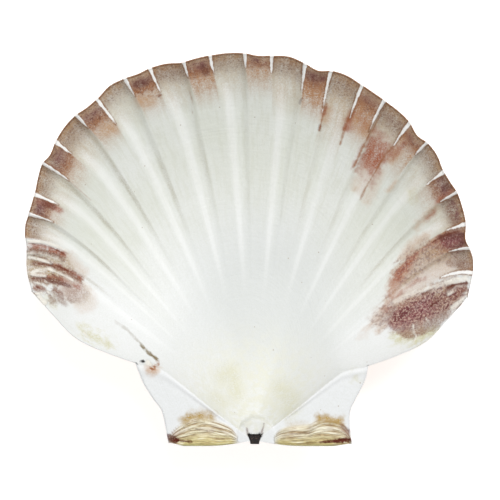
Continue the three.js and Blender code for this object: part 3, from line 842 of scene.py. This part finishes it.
above_hinge = np.maximum(area_height(flat_x) - hinge_line(flat_x), 0.5)
area_rank = (flat_y - hinge_line(flat_x)) / above_hinge
off_flanks = 1 - 0.85 * soft_step(np.abs(round_), 0.74, 0.94)
from_creamy = np.hypot(flat_x * CREAMY["squeeze"], flat_y - CREAMY["y"])
from_deep_shade = np.hypot(flat_x - DEEP_SHADE["x"], flat_y - DEEP_SHADE["y"])
marks = {
    "patch edge": inward - reach,
    "patch softness": softness,
    "patch": strength * in_patch,
    "violet": violet * core * in_patch,
    "tail end": np.clip((inward - reach) / (tail_reach - reach + 3), 0, 1),
    "tail": tail * in_patch,
    "keel edge": np.where(on_disc, keel_edge, 2),
    "lit_bank_highlight": lit_bank_highlight,
    "shaded_bank_line": shaded_bank_line,
    "land": soft_step(from_rib(number), CHANNEL_HALF_WIDTH - 0.02, CHANNEL_HALF_WIDTH + 0.02),
    "by umbo": (1 - soft_step(from_creamy, *CREAMY["spread"])) * on_disc,
    "ear": soft_step(across, 0.08, 0.25),
    "tip": np.maximum(soft_step(-flat_x, *LEFT_TIP), soft_step(flat_x, *RIGHT_TIP)),
    # Painted shade: the deepest part of the hollow is painted a little grey.
    "deep_shade": (1 - soft_step(from_deep_shade, *DEEP_SHADE["spread"])) * on_disc,
    "area": area_share(flat_x, flat_y) * (across > 0),
    "area rank": np.clip(area_rank, 0, 2),
    "along hinge": flat_x,
    "inward": inward,
    "rib": number,
    "shade": soft_step(out, 0.3, 0.85) * off_flanks * on_disc,
    "pit": pit_share(flat_x, flat_y),
}
for kind in STROKES:
    marks[kind + " edge"], marks[kind] = stroke_edges(kind)
beside = (np.abs(number - BLOTCH["rib"]) - BLOTCH["half_width"]) * rib_width
beyond = (np.abs(inward - BLOTCH["inward"]) - BLOTCH["half_length"]) * BLOTCH["end_softness"]
blotch_edge = np.maximum(beside, beyond)
nearer = (blotch_edge < marks["blotch edge"]) & on_disc
marks["blotch"] = np.where(nearer, BLOTCH["strength"], marks["blotch"])
marks["blotch edge"] = np.where(nearer, blotch_edge, marks["blotch edge"])
print("marks on the valve:", ", ".join(marks))

# %% [markdown]
# The finished form leaves the editing mesh and becomes an object. It rides on the valve's body,
# stands for the plain solid in the frame, and takes the shell's finish.

# %% The valve as an object


def object_from(mesh, name):
    data = bpy.data.meshes.new(name)
    mesh.to_mesh(data)
    mesh.free()
    piece = bpy.data.objects.new(name, data)
    bpy.context.scene.collection.objects.link(piece)
    for polygon in data.polygons:
        polygon.use_smooth = True
    return piece


valve = object_from(shell_mesh, "scallop_valve_shell")
for name, values in marks.items():
    layer = valve.data.attributes.new(name, "FLOAT", "POINT")
    layer.data.foreach_set("value", values.astype(np.float32))
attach(valve, "root")
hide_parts("scallop_valve")
print("valve has", sum(len(p.vertices) - 2 for p in valve.data.polygons), "triangles")

# %% [markdown]
# Materials are built from a few kinds of node over and over, so small helpers add one node each
# and return its output. A text stands for the mark of that name. Colours are written as red,
# green and blue as they look on a screen, and turned linear once. Texture scales count per metre,
# and the height of a bump is in millimetres.

# %% Helpers for materials


def tint(red, green, blue):
    channels = [value / 255 for value in (red, green, blue)]
    linear = [c / 12.92 if c <= 0.04045 else ((c + 0.055) / 1.055) ** 2.4 for c in channels]
    return (*linear, 1)


class Finish:
    def __init__(self, name):
        self.material = bpy.data.materials.new(name)
        self.material.use_nodes = True
        self.nodes = self.material.node_tree.nodes
        self.links = self.material.node_tree.links
        self.shader = self.nodes["Principled BSDF"]

    def put(self, socket, value):
        if isinstance(value, str):
            value = self.mark(value)
        elif isinstance(value, tuple):
            value = tint(*value)
        if isinstance(value, bpy.types.NodeSocket):
            self.links.new(value, socket)
        else:
            socket.default_value = value

    def add(self, kind, *values, **settings):
        """A new node with its settings, and values for its first sockets."""
        node = self.nodes.new(kind)
        for name, setting in settings.items():
            setattr(node, name, setting)
        for socket, value in zip(node.inputs, values):
            self.put(socket, value)
        return node

    def mark(self, name):
        return self.add("ShaderNodeAttribute", attribute_name=name).outputs["Fac"]

    def place(self):
        return self.add("ShaderNodeTexCoord").outputs["Object"]

    def join(self, x, y, z=0.0):
        return self.add("ShaderNodeCombineXYZ", x, y, z).outputs[0]

    def maths(self, operation, a, b=0.0, c=0.0):
        return self.add("ShaderNodeMath", a, b, c, operation=operation).outputs[0]

    def times(self, first, *others):
        product = first
        for other in others:
            product = self.maths("MULTIPLY", product, other)
        return product

    def step(self, value, low, high, bottom=0.0, top=1.0):
        values = (value, low, high, bottom, top)
        node = self.add("ShaderNodeMapRange", *values, interpolation_type="SMOOTHSTEP")
        return node.outputs["Result"]

    def fade(self, value, low, high, most=1.0):
        """The most up to the low value, and nothing from the high one on."""
        return self.step(value, low, high, most, 0.0)

    def noise(self, where, scale, detail=3.0, roughness=0.6):
        node = self.add("ShaderNodeTexNoise", where)
        node.inputs["Scale"].default_value = scale
        node.inputs["Detail"].default_value = detail
        node.inputs["Roughness"].default_value = roughness
        return node.outputs["Fac"]

    def specks(self, where, scale, radius):
        node = self.add("ShaderNodeTexVoronoi", where)
        node.inputs["Scale"].default_value = scale
        return self.fade(node.outputs["Distance"], radius * 0.6, radius)

    def paint(self, under, over, share):
        node = self.add("ShaderNodeMix", share, data_type="RGBA")
        self.put(node.inputs[6], under)
        self.put(node.inputs[7], over)
        return node.outputs[2]

    def coats(self, under, *coats):
        """Coats of paint: each is a colour and how much of it covers what lies below."""
        for colour, share in coats:
            under = self.paint(under, colour, share)
        return under

    def bump(self, height, millimetres, below=None):
        node = self.add("ShaderNodeBump")
        node.inputs["Strength"].default_value = 1.0
        node.inputs["Distance"].default_value = millimetres * METRE
        self.links.new(height, node.inputs["Height"])
        if below is not None:
            self.links.new(below, node.inputs["Normal"])
        return node.outputs["Normal"]


print("brown as linear light", [round(v, 3) for v in tint(139, 106, 88)])

# %% [markdown]
# All unevenness of the shell's colours comes from three textures: fine speckle, mottle, and
# streaks that run along the ribs. They make the edges of a stain ragged and its inside grainy. A
# stain's share follows from the distance to its edge, with a soft edge of a width in millimetres.

# %% Textures, and how a stain begins and ends
shell_finish = Finish("stained porcelain shell")
f = shell_finish
here = f.place()
speckle = f.step(f.noise(here, 2600, 3, 0.7), 0.34, 0.66)
mottle = f.step(f.noise(here, 520, 5, 0.6), 0.3, 0.7)
cloud = f.noise(here, 60, 3, 0.5)
along_ribs = f.join(f.times("rib", 11.0), f.times("inward", 0.14))
rib_streaks = f.step(f.noise(along_ribs, 1.0, 3, 0.6), 0.34, 0.66)


def mixed(*parts):
    """A sum of textures, each taken about its middle and multiplied by its own share."""
    total = 0.0
    for texture, share in parts:
        total = f.maths("ADD", total, f.times(f.maths("SUBTRACT", texture, 0.5), share))
    return total


def within(kind, softness, ragged, strength=None):
    """A stain's share. Its edge is that soft and wobbles by that many millimetres."""
    wobble = mixed((mottle, ragged), (rib_streaks, ragged * 0.6), (speckle, ragged * 0.35))
    beyond = f.maths("ADD", kind + " edge", wobble)
    share = f.fade(beyond, f.times(softness, -0.5), f.times(softness, 0.5))
    return f.times(share, strength or kind)


def grainy(share, amount):
    """The same share, uneven with speckle, mottle and streaks along the ribs."""
    uneven = mixed((speckle, amount), (mottle, amount * 0.4), (rib_streaks, amount * 0.6))
    return f.maths("MINIMUM", f.times(share, f.maths("ADD", 1.0, uneven)), 1.0)


def stroke(kind, softness, ragged, amount):
    return grainy(within(kind, softness, ragged), amount)


print("textures ready in", len(f.nodes), "nodes")

# %% [markdown]
# The hollow side is smooth porcelain white, a little grey green towards the margin, creamy by the
# umbo and bluer on the ears. Its deepest part is painted a little grey, as painted shade. Each
# channel has a painted highlight along its lit bank and a thin brownish line along its shaded
# bank.

# %% The white ground of the hollow side
inside = f.coats(
    f.paint((243, 244, 246), (231, 233, 233), cloud),
    ((222, 225, 215), f.times("shade", f.step(cloud, 0.2, 0.8, 0.5, 1.0))),
    ((212, 214, 200), f.times("shade", 0.35, f.step(rib_streaks, 0.3, 1.0))),
    # painted shade: a little grey in the deepest part of the hollow
    ((213, 216, 215), f.times("deep_shade", 0.9)),
    ((226, 225, 208), f.times("by umbo", f.step(mottle, 0.1, 0.9, 0.25, 0.75))),
    ((231, 233, 234), f.times("ear", 0.8)),
    ((206, 209, 196), f.times(speckle, 0.2)),
    # painted highlight: a pale band on the lit bank of each channel
    ((250, 251, 251), f.times("lit_bank_highlight", 0.5)),
    # a brownish line painted along the shaded bank of each channel
    ((172, 162, 134), grainy(f.times("shaded_bank_line", 0.7), 0.9)),
)
print("ground painted in", len(f.nodes), "nodes")

# %% [markdown]
# Stains lie in the shell's surface, so they change only its colour. The pale ones come first:
# tan, washes, and the patches at the margin, whose lands are darker than their channels. Brown,
# red, purple and dark ones go over them.

# %% The stains of the hollow side
tail = f.times("tail", f.fade("tail end", 0.0, 1.0))
tail_colour = f.paint((190, 166, 136), (182, 136, 100), "land")
patch = within("patch", "patch softness", 1.6)
land_colour = f.paint((156, 124, 108), (164, 114, 78), f.step("patch edge", -4.0, -0.5))
near_rim = f.times("patch", f.fade("inward", 0.6, 2.6, 0.6))
rim_colour = f.paint((176, 136, 92), (206, 176, 138), "land")
violet_share = f.times("violet", f.step(mottle, 0.1, 0.9, 0.35, 1.15))
inside = f.coats(
    inside,
    ((204, 200, 158), stroke("olive", 3.6, 2.4, 1.0)),
    (tail_colour, grainy(tail, 0.8)),
    ((194, 154, 116), stroke("tan", 2.2, 0.9, 0.5)),
    ((172, 144, 102), stroke("wash", 4.0, 2.2, 0.9)),
    (f.paint((160, 136, 116), land_colour, "land"), grainy(patch, 0.55)),
    (rim_colour, grainy(near_rim, 0.8)),
    ((164, 98, 70), stroke("blotch", 2.8, 1.4, 0.5)),
    ((142, 108, 90), stroke("brown", 1.1, 0.7, 0.6)),
    ((160, 92, 66), stroke("red", 1.3, 0.7, 0.5)),
    ((122, 80, 82), grainy(violet_share, 0.8)),
    ((136, 78, 92), stroke("purple", 2.8, 1.4, 0.8)),
    ((98, 54, 50), stroke("dark", 0.8, 0.4, 0.7)),
    ((152, 96, 56), stroke("line", 0.5, 0.25, 0.35)),
    ((122, 104, 66), stroke("olive line", 0.5, 0.25, 0.3)),
)
print("stains painted in", len(f.nodes), "nodes")

# %% [markdown]
# Close to, the stains are grains of pigment: cream in the washes, dark in the patches, and coarse
# maroon and pale grains in the large patch at the right, which looks marbled.

# %% Grains of pigment
cream_grains = f.step(f.noise(here, 1900, 2, 0.7), 0.54, 0.66)
dark_grains = f.fade(f.noise(here, 2000, 2, 0.7), 0.36, 0.48)
coarse_grains = f.fade(f.noise(here, 1300, 1, 0.5), 0.40, 0.50)
pale_grains = f.step(f.noise(here, 1700, 1, 0.5), 0.54, 0.64)
stained = f.maths("MAXIMUM", patch, within("brown", 2.0, 1.4))
marbled = within("wash", 2.4, 1.6, f.times("wash", f.step("rib", 3.0, 4.0)))
rim_line = f.times(f.fade("inward", 0.25, 0.7), f.step("patch", 0.2, 0.5))
inside = f.coats(
    inside,
    ((222, 208, 190), f.times(cream_grains, within("wash", 3.0, 2.0), 0.9)),
    ((104, 64, 54), f.times(dark_grains, stained, 0.75)),
    ((146, 80, 82), f.times(marbled, 0.4)),
    ((98, 42, 50), f.times(coarse_grains, marbled, 1.1)),
    ((222, 196, 178), f.times(pale_grains, marbled, 0.7)),
    ((150, 124, 92), f.times(f.specks(here, 210, 0.05), 0.5)),
    ((128, 84, 50), grainy(f.times(rim_line, 0.85), 0.8)),
)
print("grains painted in", len(f.nodes), "nodes")

# %% [markdown]
# The crisp things come last: white growth lines, dark lines, black dots and the white keels, each
# with a brown band beside it. The black dot by the left notch is a painted shadow in a small slot.
# The keels end where the lip turns to the domed side.

# %% Lines and keels
on_top = f.fade("outside", 0.05, 0.4)
white_lines = stroke("white", 0.6, 0.3, 0.3)
beside_keel = f.times(f.fade("keel edge", 0.1, 0.55), 0.5)
keel = f.fade(f.maths("ADD", "keel edge", mixed((mottle, 0.25))), -0.14, 0.14)
inside = f.coats(
    inside,
    ((248, 244, 234), white_lines),
    ((104, 54, 38), stroke("dark line", 0.45, 0.3, 0.35)),
    # black: the dot by the left notch is a painted shadow in a small slot
    ((30, 24, 22), stroke("black", 0.4, 0.0, 0.0)),
    # a brown band painted along both sides of each keel
    ((140, 96, 62), grainy(beside_keel, 1.4)),
    ((254, 254, 252), f.times(keel, on_top)),
)
print("hollow side coloured in", len(f.nodes), "nodes")

# %% [markdown]
# The ligament areas are striped by their own growth lines: long threads, ochre and cream over
# yellow, with dark brown at the tips of the ears. The threads are noise that is stretched along
# the hinge and bowed by a slow cloud. It is read by the rank of a place, which runs from 0 at the
# hinge line to 1 at the area's upper edge.

# %% Colours of the hinge
bowed = f.maths("ADD", "area rank", mixed((cloud, 0.35)))
threads = f.noise(f.join(f.times(bowed, 11.0), f.times("along hinge", 0.13)), 1.0, 3, 0.65)
patchy = f.step(f.noise(here, 330, 3, 0.6), 0.35, 0.65)
area_colour = f.coats(
    (241, 232, 202),
    ((224, 204, 190), f.times(patchy, 0.45)),
    ((224, 206, 122), f.fade("area rank", 0.15, 0.65, 0.85)),
    ((198, 170, 112), f.fade(threads, 0.42, 0.53, 0.75)),
    ((134, 92, 48), f.fade(threads, 0.35, 0.42, 0.9)),
    ((252, 248, 224), f.step(threads, 0.55, 0.64, 0.0, 0.8)),
    ((172, 164, 84), f.fade("area rank", 0.02, 0.16, 0.8)),
    ((172, 130, 112), f.times("tip", f.step(patchy, 0.0, 1.0, 0.2, 0.7))),
)
area_on_top = f.times("area", on_top)
hinge_stains = f.maths("ADD", stroke("dark", 0.8, 0.5, 0.5), stroke("dark line", 0.5, 0.3, 0.35))
inside = f.coats(
    inside,
    (area_colour, f.times(area_on_top, 0.9)),
    ((172, 138, 58), stroke("ochre", 2.8, 1.4, 0.6)),
    ((98, 40, 22), f.times(f.maths("MINIMUM", hinge_stains, 1.0), area_on_top)),
    ((34, 18, 12), f.times("pit", on_top)),
)
print("hinge coloured in", len(f.nodes), "nodes")

# %% [markdown]
# The domed side isn't in the photograph. On a shell like this one it is cream with reddish brown
# growth bands and rougher than the hollow side, and the grooves between the ribs are painted
# darker as painted shade. The relief that is too fine for the mesh is a bump: growth lines, the
# threads of the hinge, white lines and fine grain.

# %% Colours of the domed side, and the whole finish
bands = f.noise(f.join(f.times("inward", 0.22), 0.0), 1.0, 3, 0.7)
domed = f.coats(
    (224, 205, 182),
    ((176, 118, 96), f.step(bands, 0.42, 0.66, 0.0, 0.75)),
    ((236, 226, 210), f.times(mottle, 0.5)),
    ((128, 84, 72), f.fade("inward", 2.0, 16.0, 0.5)),
    # painted shade: the grooves between the ribs are painted darker
    ((150, 104, 84), f.times("land", 0.45)),
)
rough = f.step(f.maths("ADD", "outside", f.times(mottle, 0.15)), 0.0, 1.0, 0.5, 0.64)
f.put(f.shader.inputs["Base Color"], f.paint(inside, domed, f.step("outside", 0.55, 0.85)))
f.put(f.shader.inputs["Roughness"], rough)
f.shader.inputs["IOR"].default_value = 1.5
f.shader.inputs["Specular IOR Level"].default_value = 0.22

growth = f.noise(f.join(f.times("inward", 1.4), f.times("rib", 0.3)), 1.0, 3, 0.6)
grain = f.bump(f.times(growth, f.step("outside", 0.3, 0.7, 0.12, 1.0)), 0.6)
grain = f.bump(f.times("area", f.step(threads, 0.35, 0.6)), 0.25, grain)
grain = f.bump(white_lines, 0.3, grain)
f.put(f.shader.inputs["Normal"], f.bump(mottle, 0.04, grain))
valve.data.materials.append(shell_finish.material)
print("shell finish has", len(f.nodes), "nodes")

# %% [markdown]
# The ligament remnant is a dried wedge of dark horn, cracked and shrunken, with a paler core. It
# starts as a box, is cut finely, narrowed to the back, worn at its sides, and made uneven by two
# crossing waves. Its size is a share of the solid's box.

# %% The ligament remnant
REMNANT_CUTS = 11
WIDTH_BACK, WIDTH_FRONT, LENGTH, THICKNESS = 0.73529, 0.97059, 0.98, 0.9
WORN_SIDES, LUMPS = 0.1, 0.03
LIFT = 0.02 * METRE

ligament_mesh = bmesh.new()
bmesh.ops.create_cube(ligament_mesh, size=1.0)
bmesh.ops.subdivide_edges(ligament_mesh, edges=list(ligament_mesh.edges),
                          cuts=REMNANT_CUTS, use_grid_fill=True)
centre = (remnant_low + remnant_high) / 2
size = remnant_high - remnant_low
for vertex in ligament_mesh.verts:
    x, y, z = vertex.co
    width = blend(WIDTH_BACK, WIDTH_FRONT, y + 0.5)
    worn = 1 - WORN_SIDES * (2 * abs(x)) ** 3
    lump = LUMPS * math.sin(19 * x + 5 * y) * math.cos(23 * y - 7 * x)
    vertex.co = (
        centre.x + x * size.x * width,
        centre.y + y * size.y * LENGTH,
        remnant_low.z + (z + 0.5) * size.z * (THICKNESS * worn + lump) + LIFT,
    )
bmesh.ops.smooth_vert(ligament_mesh, verts=list(ligament_mesh.verts), factor=0.4,
                      use_axis_x=True, use_axis_y=True, use_axis_z=True)
bmesh.ops.recalc_face_normals(ligament_mesh, faces=list(ligament_mesh.faces))
remnant = object_from(ligament_mesh, "ligament_remnant")
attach(remnant, "root")
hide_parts("hinge_ligament")

horn = Finish("dried ligament")
cracks = horn.noise(horn.place(), 2600, 4, 0.7)
dark_to_core = horn.paint((22, 13, 10), (140, 110, 86), horn.step(cracks, 0.58, 0.70))
horn.put(horn.shader.inputs["Base Color"], dark_to_core)
horn.put(horn.shader.inputs["Normal"], horn.bump(cracks, 0.4))
horn.shader.inputs["Roughness"].default_value = 0.5
remnant.data.materials.append(horn.material)
print("ligament remnant has", len(remnant.data.polygons), "faces")

# %% [markdown]
# The photograph is a plain studio view from straight above, so the stage is a white floor, one
# large soft light from the far side and a bit to the right, a weak one from the front, and a pale
# sky that fills the shadows.

# %% Floor, lights and sky
FLOOR_HALF_SIZE = 1.5
SKY_STRENGTH = 0.46
WHITE = (1, 1, 1, 1)

floor_mesh = bmesh.new()
bmesh.ops.create_grid(floor_mesh, x_segments=1, y_segments=1, size=FLOOR_HALF_SIZE)
floor = object_from(floor_mesh, "floor")
floor_finish = Finish("pale floor")
floor_finish.shader.inputs["Base Color"].default_value = (0.93, 0.93, 0.93, 1)
floor_finish.shader.inputs["Roughness"].default_value = 0.9
floor_finish.shader.inputs["Emission Color"].default_value = WHITE
floor_finish.shader.inputs["Emission Strength"].default_value = 0.5
floor.data.materials.append(floor_finish.material)
floor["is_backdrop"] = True

LIGHTS = {
    "far soft light": {"at": (0.22, 0.62, 1.0), "width": 0.8, "watts": 9.9},
    "near fill": {"at": (-0.5, -0.6, 1.0), "width": 0.9, "watts": 2.0},
}
aim = Vector((0, 0, 0.01))
for name, light in LIGHTS.items():
    lamp = bpy.data.lights.new(name, "AREA")
    lamp.shape = "DISK"
    lamp.size = light["width"]
    lamp.energy = light["watts"]
    holder = bpy.data.objects.new(name, lamp)
    holder.location = light["at"]
    holder.rotation_euler = (aim - Vector(light["at"])).to_track_quat("-Z", "Y").to_euler()
    bpy.context.scene.collection.objects.link(holder)

sky = bpy.data.worlds.new("pale sky")
sky.use_nodes = True
sky.node_tree.nodes["Background"].inputs["Color"].default_value = WHITE
sky.node_tree.nodes["Background"].inputs["Strength"].default_value = SKY_STRENGTH
bpy.context.scene.world = sky
bpy.context.scene.view_settings.view_transform = "Standard"
print("lights:", ", ".join(LIGHTS))

# %% [markdown]
# The camera looks straight down through a long lens, one metre above the plane of the margin. Its
# picture is 134.5 mm wide there, and its middle lies a little left of the umbo, out over the disc.

# %% Camera
VIEW_WIDTH = 134.5
VIEW_MIDDLE = (-1.08, 51.4)
CAMERA_HEIGHT = 1.0

camera = bpy.data.cameras.new("view from above")
camera.sensor_width = 36
camera.lens = camera.sensor_width * CAMERA_HEIGHT / (VIEW_WIDTH * METRE)
camera.clip_end = 10
camera_holder = bpy.data.objects.new("view from above", camera)
camera_holder.location = (
    UMBO.x + VIEW_MIDDLE[0] * METRE, UMBO.y + VIEW_MIDDLE[1] * METRE, UMBO.z + CAMERA_HEIGHT
)
bpy.context.scene.collection.objects.link(camera_holder)
bpy.context.scene.camera = camera_holder
print("lens, mm:", round(camera.lens, 1))

# %% [markdown]
# The last step measures the size of what is seen and prints it beside the box of the frame.

# %% Sizes of both boxes
visual_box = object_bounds()
boxes = {
    "cad": [list(corner) for corner in cad_box],
    "visual": [list(corner) for corner in visual_box],
}
for name, corners in boxes.items():
    print(name, "box, mm", [[round(v / METRE, 2) for v in corner] for corner in corners])
